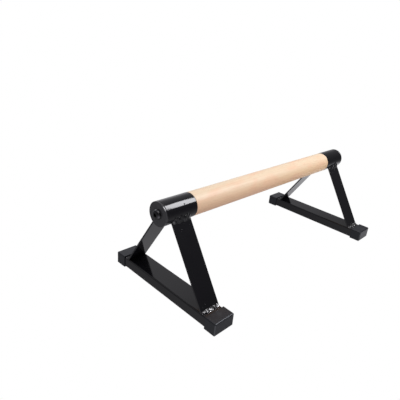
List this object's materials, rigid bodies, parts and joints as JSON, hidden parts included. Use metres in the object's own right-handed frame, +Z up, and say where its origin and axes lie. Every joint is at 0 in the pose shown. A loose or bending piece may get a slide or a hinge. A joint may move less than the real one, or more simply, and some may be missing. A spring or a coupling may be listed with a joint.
{
  "type": "parallette bar",
  "caption": "Low push-up and handstand bar: round wooden grip held in steel sockets on triangular flat-bar stands with tube bases and slip-over rubber foot caps.",
  "frame": {"origin": "on the floor, under the middle of the wooden bar", "axes": "+X along the wooden bar, +Y along the two bases, +Z up"},
  "size_m": [0.573, 0.265, 0.1822],
  "materials": {
    "bar_wood": "sanded beech, satin varnish",
    "frame_paint": "gloss black",
    "disc_paint": "satin black",
    "bolt_steel": "black oxide",
    "insert_metal": "plain turned",
    "weld_metal": "painted weld bead with bright spatter",
    "cap_rubber": "satin moulded"
  },
  "bodies": {
    "root": {"grip_bar": "bar_wood", "left_socket": "frame_paint", "left_end_disc": "disc_paint", "left_end_bolt": "bolt_steel", "left_thread_insert": "insert_metal", "left_base_tube": "frame_paint", "right_socket": "frame_paint", "right_end_disc": "disc_paint", "right_end_bolt": "bolt_steel", "right_thread_insert": "insert_metal", "right_base_tube": "frame_paint", "left_front_leg": "frame_paint", "left_front_foot_weld": "weld_metal", "left_front_top_weld": "weld_metal", "left_front_foot_cap": "cap_rubber", "left_rear_leg": "frame_paint", "left_rear_foot_weld": "weld_metal", "left_rear_top_weld": "weld_metal", "left_rear_foot_cap": "cap_rubber", "right_front_leg": "frame_paint", "right_front_foot_weld": "weld_metal", "right_front_top_weld": "weld_metal", "right_front_foot_cap": "cap_rubber", "right_rear_leg": "frame_paint", "right_rear_foot_weld": "weld_metal", "right_rear_top_weld": "weld_metal", "right_rear_foot_cap": "cap_rubber"}
  },
  "joints": []
}
